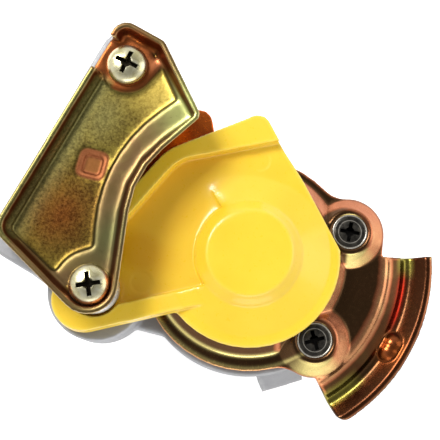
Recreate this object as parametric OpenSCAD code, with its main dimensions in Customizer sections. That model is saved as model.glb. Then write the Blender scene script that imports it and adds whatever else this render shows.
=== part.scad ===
// Palm coupling head for a trailer air brake line, with a swinging dust cover.
// Origin: centre of the port mouth. +Z points out of the coupling face, +X from the
// seal axis to the middle of the claw lip. All sizes in millimetres.

/* [Coupling face] */
// Height of the seal's contact plane above the port mouth
face_height = 46; // [44:0.5:60]
// Drop from the contact plane to the top of the clamping ring
ring_drop = 1; // [0.5:0.1:2]
// Height of the pressed ring and ears above the border of the claw plate
press_height = 5; // [4:0.1:6]
// Depth of the claw lip's channel below the border
channel_depth = 5; // [4:0.1:7]

/* [Air port] */
// Minor diameter of the port thread
port_d = 20.38; // [16:0.01:22]
// Depth of the port thread
port_depth = 14; // [10:0.5:15]
// Hexagon of the port boss, across flats
port_hex = 36; // [32:0.5:40]
// Height of the port hexagon
port_hex_height = 12; // [8:0.5:13]
// Bore of the air passage between port and seal
passage_d = 15; // [8:0.5:16]

/* [Body casting] */
// Diameter of the round flange
flange_d = 70; // [69:0.5:72]
// Shift of the flange from the seal axis, towards the cast lug
flange_shift = 2; // [1:0.1:2.5]
// Thickness of the flange and of the channel floor
flange_t = 10; // [8:0.5:12]
// Diameter of the neck above the port hexagon
neck_d = 33; // [30:0.5:34]
// Length of the plain neck
neck_length = 5; // [3:0.5:8]
// Diameter of the raised seat below the clamping ring
seat_d = 51.5; // [49.5:0.5:53]
// Radius of the channel wall around the seal axis
channel_r = 61; // [60.5:0.1:61.5]
// Radius of the boss below the cover's eye
pivot_boss_r = 15.5; // [14.5:0.1:16.5]
// Diameter of the pivot post
post_d = 9.4; // [9:0.1:9.8]
// Radius of the bosses below the claw plate's screws
ear_boss_r = 6.4; // [5:0.1:6.6]
// Reach of the cast lug from the seal axis
lug_reach = 41.6; // [40:0.1:43]
// Width of the cast lug
lug_w = 14; // [8:0.5:16]
// Height of the cast lug
lug_h = 13; // [8:0.5:15]

/* [Claw plate] */
// Thickness of the claw plate's sheet
claw_t = 2.5; // [2:0.1:2.8]
// Bore of the clamping ring
ring_bore_d = 39; // [36:0.5:42]
// Radial gap between the raised seat and the inside of the ring
ring_gap = 1; // [0.8:0.1:2]
// Diameter of the border around the ring
border_d = 68.6; // [67.6:0.2:70]
// Shift of the border from the seal axis, towards the cast lug
border_shift = 1.1; // [0.5:0.1:1.5]
// Radius of the flat top of each screw ear
ear_top_r = 8; // [7.6:0.1:8.4]
// Radius of each screw ear at its foot
ear_foot_r = 11.5; // [11:0.1:12]
// Radius of the panel's outer edge
panel_r = 45.3; // [44.5:0.1:46]
// Outer radius of the claw lip
lip_r = 59.2; // [58.6:0.1:60]
// Angle that the claw lip spans
lip_angle = 62; // [50:1:64]
// Distance of the nub and of the detent from the seal axis along X
detent_x = 53.4; // [52.6:0.1:54]
// Radius of the nub across the lip
nub_r = 3.9; // [3.5:0.1:4.2]
// Half length of the nub along the lip
nub_half = 5.2; // [4.5:0.1:6]
// Radius of the wing below the guide plate
wing_r = 52; // [48:0.5:53]
// Distance of the claw plate's screws from the seal axis
ear_screw_r = 33; // [32.5:0.1:33.5]

/* [Guide plate] */
// Thickness of the guide plate's sheet
guide_t = 2; // [1.6:0.1:2.4]
// Gap between a coupled lip and the guide plate
guide_gap = 0.3; // [0.2:0.05:0.6]
// Height of the band along the channel above the pressed floor
band_rise = 1; // [0.6:0.1:1.4]
// Height of the rim above the band
rim_height = 4; // [3:0.1:6]
// Flare of the rim
rim_flare = 1; // [0.4:0.1:1.4]
// Depth of the detent below the floor
detent_depth = 1.6; // [1:0.1:2]
// Half width of the detent
detent_half = 4.3; // [3.8:0.1:4.8]
// Radius of the raised pad below the upper pan head
pad_r = 8.3; // [7.6:0.1:9]
// Length of the gap in the rim beside the upper pan head
rim_gap = 11; // [6:0.5:11]

/* [Cover] */
// Gap between the seal's contact plane and the cover
cover_gap = 0.5; // [0.3:0.1:1]
// Wall of the cover
cover_t = 2.2; // [1.8:0.1:2.6]
// Diameter of the dome's flange
dome_d = 57; // [55:0.5:59]
// Diameter of the raised disc
disc_d = 27.8; // [24:0.2:29]
// Height of the raised disc above the cover's underside
disc_height = 9; // [8:0.1:11]
// Height of the dome's slope above the cover's underside
slope_height = 5.4; // [4:0.1:6]
// Radius of the pivot eye
eye_r = 12.5; // [12:0.1:13]
// Radius of the eye's lower corner
heel_r = 10; // [9:0.1:10.5]
// Height of the ribs above the cover's underside
rib_height = 6; // [4:0.1:7]
// Width of the rib along the arm's lower edge
rib_w = 6; // [5:0.1:7]
// Width of the rib along the cover's back edge
back_rib_w = 5.2; // [4:0.1:6]
// Radial play of the eye on the post
pivot_play = 0.08; // [0.04:0.01:0.1]
// Wall of the hub that runs on the post
hub_t = 1.5; // [1.3:0.1:1.6]

/* [Seal] */
// Diameter of the seal's flange below the ring
seal_flange_d = 48; // [46:0.5:49]
// Thickness of the seal's flange
seal_flange_t = 4; // [3:0.1:4.5]
// Bore of the seal
seal_bore_d = 22; // [18:0.5:24]

/* [Return spring] */
// Wire of the return spring
wire_d = 1.2; // [1:0.1:1.3]
// Turns of the return spring
spring_turns = 4; // [3:1:5]

/* [Screws] */
// Thread diameter of all screws
screw_d = 6; // [5:0.5:6]
// Head diameter of the countersunk screws
csk_head_d = 11; // [10:0.1:11.6]
// Length of the countersunk screws
csk_length = 13; // [11:0.5:14]
// Head diameter of the pan head screws
pan_head_d = 12.4; // [11.6:0.1:12.8]
// Head height of the pan head screws
pan_head_h = 4.2; // [3.6:0.1:4.8]
// Length of the pan head screws below the head
pan_length = 18; // [14:0.5:20]

/* [Hidden] */
$fn = 96;
eps = 0.01;
screw_play = 0.1;
seat_play = 0.3;
move_gap = 0.3;
skim = 0.02;

// Heights above the port mouth
ring_z = face_height - ring_drop;
border_z = ring_z - press_height;
channel_z = border_z - channel_depth;
deck_z = border_z - claw_t;
flange_z = deck_z - flange_t;
guide_z = 2 * face_height - channel_z + claw_t + guide_gap;
guide_top = guide_z + guide_t;
band_z = guide_z + band_rise;
band_top = band_z + guide_t;
rim_top = band_top + rim_height;
cover_z = face_height + cover_gap;
slab_z = cover_z + cover_t;
rib_z = cover_z + rib_height;

// Places in plan
pivot = [-35.5, -33];
back_screw = [-60.4, 30.2];
ear_screw_angles = [44, -22];
ear_screws = [for (a = ear_screw_angles) ear_screw_r * turn_by(a)];
arm_angle = atan2(-pivot[1], -pivot[0]);
arm_length = norm(pivot);
heel = pivot + [-1.4, -4.3];
swing_r = norm(heel - pivot) + heel_r;
arm_half = heel_r + (heel - pivot) * turn_by(arm_angle - 90);
lug_side = turn_by(-60);
flange_c = flange_shift * lug_side;
border_c = border_shift * lug_side;
nub_place = [detent_x, -1.6];
detent_place = [-detent_x - 0.6, -1.4];

// Outlines as circles joined by tangents: x, y and radius, with a radius below zero where
// the outline bends inwards, listed anticlockwise
guide_corner_r = 8.9;
seat_band_r = 10.5;
guide_corners = [
    [-62.5, -28.8, 6],
    [pivot[0], pivot[1], guide_corner_r],
    [-9, 3, -29.5],
    [-35.2, 25.9, 2.6],
    [-55, 37.8, 4],
    [-64.3, 36.8, 5]
];
wall_foot = guide_t + rim_flare + 0.8;
floor_corners = [
    shrunk(guide_corners[0], wall_foot),
    [-47.4, -33.6, 1.2],
    [pivot[0], pivot[1], -seat_band_r],
    [-41.9, -22.6, 1.2],
    [-2, 4, -46.4],
    [-43.3, 28.2, 1.2],
    shrunk(guide_corners[4], wall_foot),
    shrunk(guide_corners[5], wall_foot)
];
pad_corners = [[back_screw[0], back_screw[1], pad_r], [-52.7, 34.4, 1.5]];
block_corners = [
    [-63, -31, 7.6],
    [-51, -33.5, 5],
    [-54, 34.5, 4],
    [-65.5, 34, 6]
];
web_corners = [
    [-63, -31, 7],
    [pivot[0], pivot[1], 8],
    [3, -6, 23.5],
    [-54, 26, 3.6],
    [-65.5, 25.4, 5.4]
];
dome_r = dome_d / 2;
notch_r = 1.2;
notch_along = sqrt(pow(dome_r + notch_r, 2) - pow(arm_half + notch_r, 2));
notch = -notch_along * turn_by(arm_angle) + (arm_half + notch_r) * turn_by(arm_angle - 90);
shoulder_r = 3;
shoulder = (dome_r - shoulder_r - 0.3) * turn_by(33);
back_r = 18;
cover_corners = [
    [heel[0], heel[1], heel_r],
    [notch[0], notch[1], -notch_r],
    [0, 0, dome_r],
    [shoulder[0], shoulder[1], shoulder_r],
    [-17.3, 37, 4.5],
    [-22, 8, back_r],
    [pivot[0], pivot[1], eye_r]
];
// Pocket of the cover, between the rib along the arm and the rib along the back edge
pocket_low = arm_half - rib_w;
pocket_r = (pocket_low + eye_r - back_rib_w) / 2;
pocket_start = eye_point(0, pocket_r - pocket_low);
pocket_end = eye_point(3 * arm_length, pocket_r - pocket_low);
pocket_corners = [
    [pocket_start[0], pocket_start[1], pocket_r],
    [pocket_end[0], pocket_end[1], pocket_r],
    [15.8, 54.8, 4],
    [-22, 8, back_r - back_rib_w]
];
plate_corners = [
    [border_c[0], border_c[1], border_d / 2],
    fillet_circle(ear_screws[1], -1),
    [ear_screws[1][0], ear_screws[1][1], ear_foot_r],
    [0, 0, panel_r - 3],
    [ear_screws[0][0], ear_screws[0][1], ear_foot_r],
    fillet_circle(ear_screws[0], 1)
];

// Circle that blends the border into an ear in plan, on the side given by the sign
function fillet_circle(p, side) =
    let (
        r = 9,
        reach = border_d / 2 + r,
        span = ear_foot_r + r,
        d = p - border_c,
        far = norm(d),
        away = acos((reach * reach + far * far - span * span) / (2 * reach * far)),
        c = border_c + reach * turn_by(atan2(d[1], d[0]) + side * away)
    )
    [c[0], c[1], -r];

function turn_by(a) = [cos(a), sin(a)];

// Direction of the outward normal of the tangent from circle a to circle b
function tangent_normal(a, b) =
    let (
        d = [b[0] - a[0], b[1] - a[1]],
        lean = acos(max(-1, min(1, (a[2] - b[2]) / norm(d))))
    )
    atan2(d[1], d[0]) - lean;

function normals_of(c) =
    let (n = len(c))
    [for (i = [0 : n - 1]) tangent_normal(c[i], c[(i + 1) % n])];

// Angle that the outline turns through at circle i, anticlockwise at outward corners
function sweep_at(c, normals, i) =
    let (
        n = len(c),
        a = normals[i] - normals[(i + n - 1) % n],
        slack = 20
    )
    c[i][2] > 0 ? a - 360 * floor((a + slack) / 360) : a - 360 * ceil((a - slack) / 360);

// Circle with its radius made smaller by an inset, and kept just above zero at corners
function shrunk(c, inset) = [c[0], c[1], c[2] > 0 ? max(c[2] - inset, 0.2) : c[2] - inset];

// Closed outline around the circles, with the same points at every inset
function belt(corners, inset = 0, step = 12) =
    let (
        n = len(corners),
        c = [for (q = corners) shrunk(q, inset)],
        normals = normals_of(c),
        plain = normals_of(corners)
    )
    [
        for (i = [0 : n - 1])
            let (
                first = normals[(i + n - 1) % n],
                sweep = sweep_at(c, normals, i),
                steps = max(2, ceil(abs(sweep_at(corners, plain, i)) / step))
            )
            for (k = [0 : steps])
                [c[i][0], c[i][1]] + c[i][2] * turn_by(first + sweep * k / steps)
    ];

// Points of an arc in a section
function bend(centre, r, from, to, steps = 6) =
    [for (k = [0 : steps]) centre + r * turn_by(from + (to - from) * k / steps)];

// Solid skin over rings that follow one outline, each given as inset and height
module skin(corners, rings, step = 15) {
    loops = [for (g = rings) belt(corners, g[0], step)];
    n = len(loops[0]);
    last = len(rings) - 1;
    points = [for (j = [0 : last]) for (p = loops[j]) [p[0], p[1], rings[j][1]]];
    walls = [
        for (j = [0 : last - 1])
            for (i = [0 : n - 1])
                let (k = (i + 1) % n)
                each [
                    [j * n + i, (j + 1) * n + i, (j + 1) * n + k],
                    [j * n + i, (j + 1) * n + k, j * n + k]
                ]
    ];
    caps = [[for (i = [0 : n - 1]) i], [for (i = [n - 1 : -1 : 0]) last * n + i]];
    polyhedron(points = points, faces = concat(walls, caps), convexity = 8);
}

// Straight prism over an outline
module prism(corners, low, high, inset = 0) {
    translate([0, 0, low]) linear_extrude(high - low) polygon(belt(corners, inset, 8));
}

module disc(centre, r, low, high) {
    translate([centre[0], centre[1], low]) cylinder(h = high - low, r = r);
}

// Body casting: port, neck, flange, channel floor, channel wall, pivot boss and post
body_round = 1.5;

module body_turned() {
    cone_low = min(port_hex_height + neck_length, flange_z - 1);
    cone_r = seat_d / 2 + 3;
    rotate_extrude() polygon([
        [0, port_hex_height - 2], [neck_d / 2, port_hex_height - 2], [neck_d / 2, cone_low],
        [cone_r, flange_z + 1], [seat_d / 2, flange_z + 1], [seat_d / 2, ring_z - claw_t],
        [0, ring_z - claw_t]
    ]);
}

module body_flange() {
    r = flange_d / 2;
    translate([flange_c[0], flange_c[1], 0]) rotate_extrude() polygon(concat(
        [[0, flange_z]],
        bend([r - body_round, flange_z + body_round], body_round, -90, 0),
        [[r, deck_z], [0, deck_z]]
    ));
}

// Tapered lug on the underside of the flange
lug_angle = -44;

module body_lug() {
    foot_r = 3;
    inner = flange_d / 2 - 12;
    low = flange_z - lug_h;
    outer = lug_reach - 2;
    rotate(lug_angle) rotate([90, 0, 0]) translate([0, 0, -lug_w / 2]) linear_extrude(lug_w)
        polygon(concat(
            [[inner, flange_z + 4], [inner, flange_z - 2], [outer - 3 * foot_r, low]],
            bend([outer - foot_r, low + foot_r], foot_r, -90, 0),
            [[lug_reach, flange_z - 3], [flange_d / 2 - 1, flange_z + 4]]
        ));
}

// Wall that closes the channel and carries the guide plate
module body_block() {
    difference() {
        prism(block_corners, flange_z + 1, guide_z);
        disc([0, 0], channel_r, deck_z, guide_z + 1);
        disc(pivot, swing_r + 2 * move_gap, cover_z - move_gap, guide_z + 1);
    }
}

module body_post() {
    translate([pivot[0], pivot[1], 0]) rotate_extrude() polygon(concat(
        [[0, flange_z - 0.4]],
        bend([pivot_boss_r - body_round, flange_z - 0.4 + body_round], body_round, -90, 0),
        [[pivot_boss_r, cover_z - move_gap], [post_d / 2, cover_z - move_gap]],
        [[post_d / 2, band_z], [0, band_z]]
    ));
}

module body() color([0.66, 0.67, 0.67]) difference() {
    union() {
        rotate(30) cylinder(h = port_hex_height, d = port_hex / cos(30), $fn = 6);
        body_turned();
        body_flange();
        for (p = ear_screws) disc(p, ear_boss_r, channel_z - claw_t, ring_z - claw_t - skim);
        body_lug();
        prism(web_corners, flange_z + 0.4, deck_z - skim);
        body_block();
        body_post();
    }
    disc([0, 0], port_d / 2, -1, port_depth);
    disc([0, 0], passage_d / 2, port_depth - 1, face_height);
    disc([0, 0], seal_flange_d / 2 + seat_play / 2, ring_z - claw_t - seal_flange_t, face_height);
    for (p = ear_screws) {
        disc(p, screw_d / 2 + screw_play, ring_z - csk_length - 1, face_height);
        csk_hole(p);
    }
    for (p = [back_screw, pivot])
        disc(p, screw_d / 2 + screw_play, band_top - pan_length - 1, rim_top);
    spring_leg_hole();
}

// Claw plate: one pressing, given as its outer form less its inner form
press_slope = 3.2;
press_round = 2.2;
ring_top_d = seat_d + claw_t + 2 * ring_gap;
csk_sink = 0.5;
csk_edge = 0.2;

// Section of a raised form with a flat top, a rounded shoulder and a sloping side
module raised_section(top_r, foot_r, inset, low) {
    top = ring_z - inset;
    round_r = max(press_round - inset, 0.3);
    polygon(concat(
        [[0, low], [0, top]],
        bend([top_r - round_r, top - round_r], round_r, 90, 30),
        [[foot_r, border_z - inset], [foot_r, low]]
    ));
}

module raised_forms(inset, low) {
    ring_r = ring_top_d / 2 - inset / 2;
    rotate_extrude() raised_section(ring_r, ring_r + press_slope, inset, low);
    for (p = ear_screws) translate([p[0], p[1], 0]) rotate_extrude()
        raised_section(ear_top_r - 0.4 * inset, ear_foot_r - skim - inset, inset, low);
}

// Section of the lip: panel edge, wall down, channel floor, flared outer wall
lip_floor_r = detent_x - 1.8;
lip_bend_r = 2.4;
lip_edge_r = 2;
lip_top = border_z - 1.4;

module lip_section() {
    inner = panel_r - 6;
    floor_c = [lip_floor_r, channel_z + lip_bend_r];
    polygon(concat(
        [[inner, deck_z + skim], [inner, border_z - skim]],
        bend([panel_r - lip_edge_r, border_z - skim - lip_edge_r], lip_edge_r, 90, 25, 4),
        bend(floor_c, lip_bend_r, 205, 300, 6),
        [[lip_r - 2, lip_top], [lip_r - 0.4, lip_top - 0.2], [lip_r, lip_top - 0.8]],
        bend(floor_c, lip_bend_r + claw_t, 300, 215, 6),
        [[panel_r - lip_edge_r - 0.4, deck_z + skim]]
    ));
}

// Rounding of the lip's outer corner at its lower end, as the piece to take off
module lip_corner_cut() {
    corner_r = 4;
    bite = 0.1;
    at = [lip_r - corner_r + bite, corner_r - bite];
    tall = border_z - channel_z + 4 * claw_t;
    rotate(-lip_angle / 2) translate([0, 0, channel_z - 2 * claw_t]) linear_extrude(tall) difference() {
        translate([at[0], -1]) square([corner_r + 2, at[1] + 1]);
        translate(at) circle(r = corner_r);
    }
}

// Nub on the lip's floor, from two balls along the lip
module nub_form(r) {
    spread = nub_half - nub_r;
    sunk = 0.6;
    for (side = [-1, 1])
        translate([nub_place[0], nub_place[1] + side * spread, channel_z - sunk]) sphere(r = r);
}

// Flat wing of the claw plate on the channel floor, with rounded outer corners
module wing() {
    corner_r = 4.5;
    root_r = border_d / 2 - 8;
    from = (wing_r - corner_r) * turn_by(139.5);
    to = (wing_r - corner_r) * turn_by(196);
    foot = root_r * turn_by(190);
    head = root_r * turn_by(142);
    prism([
        [from[0], from[1], corner_r], [0, 0, wing_r], [to[0], to[1], corner_r],
        [foot[0], foot[1], 2], [head[0], head[1], 2]
    ], deck_z + skim, border_z - skim);
}

module csk_hole(p) {
    head_r = csk_head_d / 2 + screw_play;
    shank_r = screw_d / 2 + screw_play;
    rim_r = head_r + csk_sink + 0.4;
    low = -csk_sink - csk_edge;
    translate([p[0], p[1], ring_z]) rotate_extrude() polygon([
        [0, 1], [rim_r, 1], [rim_r, 0], [head_r, -csk_sink], [head_r, low],
        [shank_r, low - head_r + shank_r], [shank_r, -2 * claw_t], [0, -2 * claw_t]
    ]);
}

module claw_plate() color([0.72, 0.53, 0.24]) difference() {
    nub_wall = 0.7 * claw_t;
    union() {
        raised_forms(0, deck_z + 1);
        prism(plate_corners, deck_z, border_z);
        rotate(-lip_angle / 2) rotate_extrude(angle = lip_angle) lip_section();
        nub_form(nub_r);
        wing();
    }
    raised_forms(claw_t, flange_z);
    disc([0, 0], ring_bore_d / 2, flange_z, face_height);
    disc(pivot, pivot_boss_r + seat_play, flange_z, face_height);
    for (p = ear_screws) csk_hole(p);
    nub_form(nub_r - nub_wall);
    disc(nub_place, nub_half + 2, channel_z - 9, channel_z - claw_t + skim);
    lip_corner_cut();
}

// Guide plate: pressed tray with a flared rim, sunk floor, screw seats and detent
head_play = 0.2;
detent_turn = 15;
rim_gap_y = 24;

// Rounded square around the detent's place
function detent_corners(half, r) = [
    for (a = [225, 315, 405, 495])
        let (p = detent_place + sqrt(2) * (half - r) * turn_by(a + detent_turn)) [p[0], p[1], r]
];

// Tray with its rim, before the pad, the holes and the detent's pit
module guide_tray() {
    foot = guide_t + rim_flare;
    difference() {
        union() {
            skin(guide_corners, [
                [4.2, band_z], [foot - 0.4, band_z + 0.4], [foot - 1.4, band_z + 1.6],
                [0.3, rim_top - 1], [0, rim_top],
                [guide_t - 0.3, rim_top], [foot - 0.2, band_top + 1.4],
                [foot + 0.5, band_top + 0.4], [4.4, band_top]
            ]);
            prism(floor_corners, guide_z, band_z + 1, -0.8 * guide_t);
            prism(detent_corners(detent_half + 0.3 * guide_t, 2.4), guide_z - detent_depth, guide_z + 1);
        }
        prism(floor_corners, guide_top, rim_top);
    }
}

module guide_plate() color([0.62, 0.56, 0.32]) difference() {
    union() {
        guide_tray();
        intersection() {
            prism(pad_corners, guide_z + 0.5, band_top);
            prism(guide_corners, guide_z, rim_top, wall_foot - 1.4);
        }
    }
    for (p = [back_screw, pivot]) {
        disc(p, pan_head_d / 2 + head_play, band_top, rim_top + 1);
        disc(p, screw_d / 2 + screw_play, guide_z - 1, rim_top);
    }
    prism(detent_corners(detent_half, 2), guide_top - 0.4 * detent_depth, guide_top + 1);
    prism(detent_corners(detent_half - 1.4, 1.2), guide_top - detent_depth, guide_top);
    translate([-75, rim_gap_y, band_top + 0.3]) cube([12, rim_gap, rim_height + 1]);
}

// Cover: slab, dome, ribs and pivot eye
hub_r = post_d / 2 + pivot_play + hub_t;

function eye_point(along, across) =
    pivot + along * turn_by(arm_angle) + across * turn_by(arm_angle + 90);

// Section of the dome: raised disc, wall and slope down to the flange
dome_wall_r = disc_d / 2 + 2.2;
dome_foot_r = dome_r - 3;

module dome_section(inset, low) {
    disc_r = disc_d / 2 - inset;
    round_r = max(1.2 - inset, 0.2);
    wall_r = dome_wall_r - inset;
    top = cover_z + disc_height - inset;
    slope = cover_z + slope_height - inset;
    foot_r = dome_foot_r - inset;
    polygon(concat(
        [[0, low], [0, top]],
        bend([disc_r - round_r, top - round_r], round_r, 90, 20, 4),
        bend([wall_r + 1.2, slope + 1.4], 1.4, 200, 262, 4),
        [[foot_r, slab_z - skim - inset], [foot_r, low]]
    ));
}

// The dome's slope is left out where the arm's pocket runs up to the wall
module dome_form(inset, low, cut_low, widen) {
    from = 150 - widen;
    to = arm_angle + 180 + asin(pocket_low / dome_wall_r) + widen;
    in = dome_wall_r + 0.6 - inset;
    difference() {
        rotate_extrude() dome_section(inset, low);
        rotate(from) rotate_extrude(angle = to - from)
            translate([in, cut_low]) square([dome_r - in, disc_height + 2]);
    }
}

// Raised rib along the arm, around the eye and along the back edge, which runs into the dome's slope
module rib() {
    edge = 0.3;
    low = slab_z - 2;
    tall = rib_height + 2;
    wide = 2 * arm_length;
    difference() {
        prism(cover_corners, slab_z - 1, rib_z, edge);
        prism(pocket_corners, low, low + tall);
        rotate_extrude() polygon([
            [dome_wall_r - 4, rib_z + 1], [dome_wall_r - 4, cover_z + slope_height],
            [dome_foot_r, slab_z + 1.4], [dome_r + 3, rib_z - 0.1], [dome_r + 6, rib_z + 1]
        ]);
        rotate(arm_angle) translate([2 - dome_wall_r, -wide, low]) cube([wide, wide, tall]);
        rotate(arm_angle) translate([-dome_r, -wide - arm_half + edge + 0.1, low]) cube([wide, wide, tall]);
    }
}

module cover() color([0.98, 0.82, 0.12]) difference() {
    union() {
        prism(cover_corners, cover_z, slab_z);
        dome_form(0, slab_z - 0.6, slab_z - skim, 0);
        rib();
        disc(pivot, hub_r, slab_z - 1, band_z - move_gap);
    }
    dome_form(cover_t, cover_z - 1, cover_z - 2, 6);
    disc(pivot, post_d / 2 + pivot_play, cover_z - 1, rim_top);
    difference() {
        disc(pivot, spring_r + wire_d / 2 + 2 * move_gap, slab_z - 0.1, rib_z + 1);
        disc(pivot, hub_r, cover_z, rim_top);
    }
    spring_foot_slot();
}

// Return spring around the hub: coil and two radial legs
spring_r = hub_r + move_gap + wire_d / 2;
spring_low = slab_z + move_gap + wire_d / 2;
spring_high = guide_z - 1 - wire_d;
leg_angle = 180;
foot_angle = leg_angle - 360 * spring_turns;
leg_end = 18.2;
foot_end = spring_r + 3.6;

function spring_path() = let (n = 20 * spring_turns) concat(
    [[foot_end, foot_angle, spring_low]],
    [[spring_r + 0.4, foot_angle, spring_low]],
    [for (k = [1 : n - 1]) [spring_r, foot_angle + 360 * spring_turns * k / n,
        spring_low + (spring_high - spring_low) * k / n]],
    [[spring_r + 0.4, leg_angle, spring_high]],
    [[leg_end, leg_angle, spring_high]]
);

// Tube along a path given in polar form around the pivot
module tube(path, r, sides = 8) {
    c = [for (q = path) [q[0] * cos(q[1]), q[0] * sin(q[1]), q[2]]];
    m = len(c) - 1;
    ring = [for (i = [0 : m])
        let (
            d = c[min(i + 1, m)] - c[max(i - 1, 0)],
            side = cross(d, [0, 0, 1]) / norm(cross(d, [0, 0, 1])),
            up = cross(side, d) / norm(d)
        )
        for (k = [0 : sides - 1]) c[i] + r * (cos(360 * k / sides) * side + sin(360 * k / sides) * up)];
    walls = [for (i = [0 : m - 1]) for (k = [0 : sides - 1]) let (n = (k + 1) % sides)
        each [[i * sides + k, (i + 1) * sides + k, (i + 1) * sides + n],
            [i * sides + k, (i + 1) * sides + n, i * sides + n]]];
    caps = [[for (k = [0 : sides - 1]) k], [for (k = [sides - 1 : -1 : 0]) m * sides + k]];
    polyhedron(points = ring, faces = concat(walls, caps), convexity = 10);
}

module return_spring() color([0.55, 0.56, 0.58])
    translate([pivot[0], pivot[1], 0]) tube(spring_path(), wire_d / 2);

module spring_leg_hole() {
    translate([pivot[0], pivot[1], spring_high]) rotate(leg_angle) rotate([0, 90, 0])
        translate([0, 0, spring_r]) cylinder(h = leg_end + 0.6 - spring_r, r = wire_d / 2 + 0.25);
}

module spring_foot_slot() {
    w = wire_d + 0.6;
    translate([pivot[0], pivot[1], slab_z - 0.05]) rotate(foot_angle)
        translate([spring_r, -w / 2, 0]) cube([foot_end + 0.4 - spring_r, w, rib_height]);
}

// Seal: flange held below the ring and a collar that stands through its bore
module face_seal() color([0.13, 0.13, 0.14]) {
    low = ring_z - claw_t - seal_flange_t;
    collar_r = ring_bore_d / 2 - seat_play;
    rotate_extrude() polygon(concat(
        [[seal_bore_d / 2, low], [seal_flange_d / 2, low]],
        [[seal_flange_d / 2, ring_z - claw_t], [collar_r, ring_z - claw_t]],
        bend([collar_r - 1, face_height - 1], 1, 0, 90),
        [[seal_bore_d / 2 + 4, face_height], [seal_bore_d / 2, face_height - 2]]
    ));
}

screw_edge = 0.4;

// Cross recess of a screw, sunk from its top
module cross_recess(d, depth) {
    for (a = [0, 90]) rotate(a) translate([0, 0, -depth]) linear_extrude(depth + 1)
        square([d, d * 0.2], center = true);
    translate([0, 0, -depth]) cylinder(h = depth + eps, d1 = d * 0.2, d2 = d * 0.44);
}

module claw_plate_screws() color([0.25, 0.25, 0.26])
    for (i = [0, 1]) translate([ear_screws[i][0], ear_screws[i][1], ring_z - csk_sink]) difference() {
        cone = (csk_head_d - screw_d) / 2;
        end = csk_sink - csk_length;
        rotate_extrude() polygon([
            [0, 0], [csk_head_d / 2 - csk_edge, 0], [csk_head_d / 2, -csk_edge],
            [screw_d / 2, -csk_edge - cone], [screw_d / 2, end + screw_edge],
            [screw_d / 2 - screw_edge, end], [0, end]
        ]);
        rotate(20 + 25 * i) cross_recess(csk_head_d * 0.56, 2.4);
    }

module pan_screw(turn) {
    r = pan_head_d / 2;
    lift = pan_head_h - 1.1;
    crown = (r * r + lift * lift) / (2 * lift);
    swing = asin(r / crown);
    difference() {
        rotate_extrude() polygon(concat(
            [[0, -pan_length], [screw_d / 2 - screw_edge, -pan_length]],
            [[screw_d / 2, screw_edge - pan_length], [screw_d / 2, 0], [r - 0.3, 0], [r, 0.3]],
            bend([0, pan_head_h - crown], crown, 90 - swing, 90, 8)
        ));
        translate([0, 0, pan_head_h]) rotate(turn) cross_recess(pan_head_d * 0.52, 2.8);
    }
}

module guide_plate_screws() color([0.84, 0.80, 0.58]) {
    translate([back_screw[0], back_screw[1], band_top]) pan_screw(5);
    translate([pivot[0], pivot[1], band_top]) pan_screw(38);
}

body();
claw_plate();
guide_plate();
cover();
face_seal();
return_spring();
claw_plate_screws();
guide_plate_screws();
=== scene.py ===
"""Palm coupling head with a swinging cover: finished pieces, materials, light and camera."""

import math

import bmesh
import bpy
import numpy as np
from mathutils import Matrix, Vector


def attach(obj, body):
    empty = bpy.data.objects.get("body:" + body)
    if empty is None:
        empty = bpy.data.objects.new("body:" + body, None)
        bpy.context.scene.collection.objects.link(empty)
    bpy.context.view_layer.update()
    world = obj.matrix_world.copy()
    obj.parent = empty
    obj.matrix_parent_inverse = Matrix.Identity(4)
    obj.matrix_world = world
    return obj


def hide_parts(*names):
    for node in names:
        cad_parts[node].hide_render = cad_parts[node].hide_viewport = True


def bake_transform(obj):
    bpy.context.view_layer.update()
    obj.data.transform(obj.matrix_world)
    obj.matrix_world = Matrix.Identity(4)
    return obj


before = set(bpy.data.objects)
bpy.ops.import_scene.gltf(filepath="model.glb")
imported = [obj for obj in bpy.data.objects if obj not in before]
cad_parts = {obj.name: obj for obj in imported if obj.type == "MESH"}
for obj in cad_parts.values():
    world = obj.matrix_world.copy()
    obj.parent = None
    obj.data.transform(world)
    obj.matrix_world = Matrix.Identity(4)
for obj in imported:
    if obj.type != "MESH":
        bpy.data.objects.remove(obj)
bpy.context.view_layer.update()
MM = 0.001

# Heights and places of the head, in millimetres, as in the part's source
FACE_Z = 46.0
RING_Z = 45.0
BORDER_Z = 40.0
SLAB_Z = 48.7
GUIDE_TOP = 61.8
BAND_TOP = 62.8
PIVOT = (-35.5, -33.0)
BACK_SCREW = (-60.4, 30.2)
DETENT = (-54.0, -1.4)
DETENT_TURN = 15.0
EAR_ANGLES = (44.0, -22.0)
EAR_RADIUS = 33.0


def polar(radius, degrees):
    a = math.radians(degrees)
    return radius * math.cos(a), radius * math.sin(a)


# Meshes

JOIN_REACH = 0.000002
SMOOTH_SHARE = 0.5
SHARP_ANGLE = math.radians(50)


def shown(name, mesh):
    piece = bpy.data.objects.new(name, mesh)
    bpy.context.scene.collection.objects.link(piece)
    return piece


def settle(piece):
    """Turns a piece's modifiers into plain mesh."""
    evaluated = piece.evaluated_get(bpy.context.evaluated_depsgraph_get())
    mesh = bpy.data.meshes.new_from_object(evaluated)
    piece.modifiers.clear()
    piece.data = mesh


def merged(mesh, outward=False):
    """Joins a mesh's doubled points, and turns its faces outwards where asked."""
    work = bmesh.new()
    work.from_mesh(mesh)
    bmesh.ops.remove_doubles(work, verts=work.verts, dist=JOIN_REACH)
    if outward:
        bmesh.ops.recalc_face_normals(work, faces=work.faces)
    work.to_mesh(mesh)
    work.free()


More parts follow.
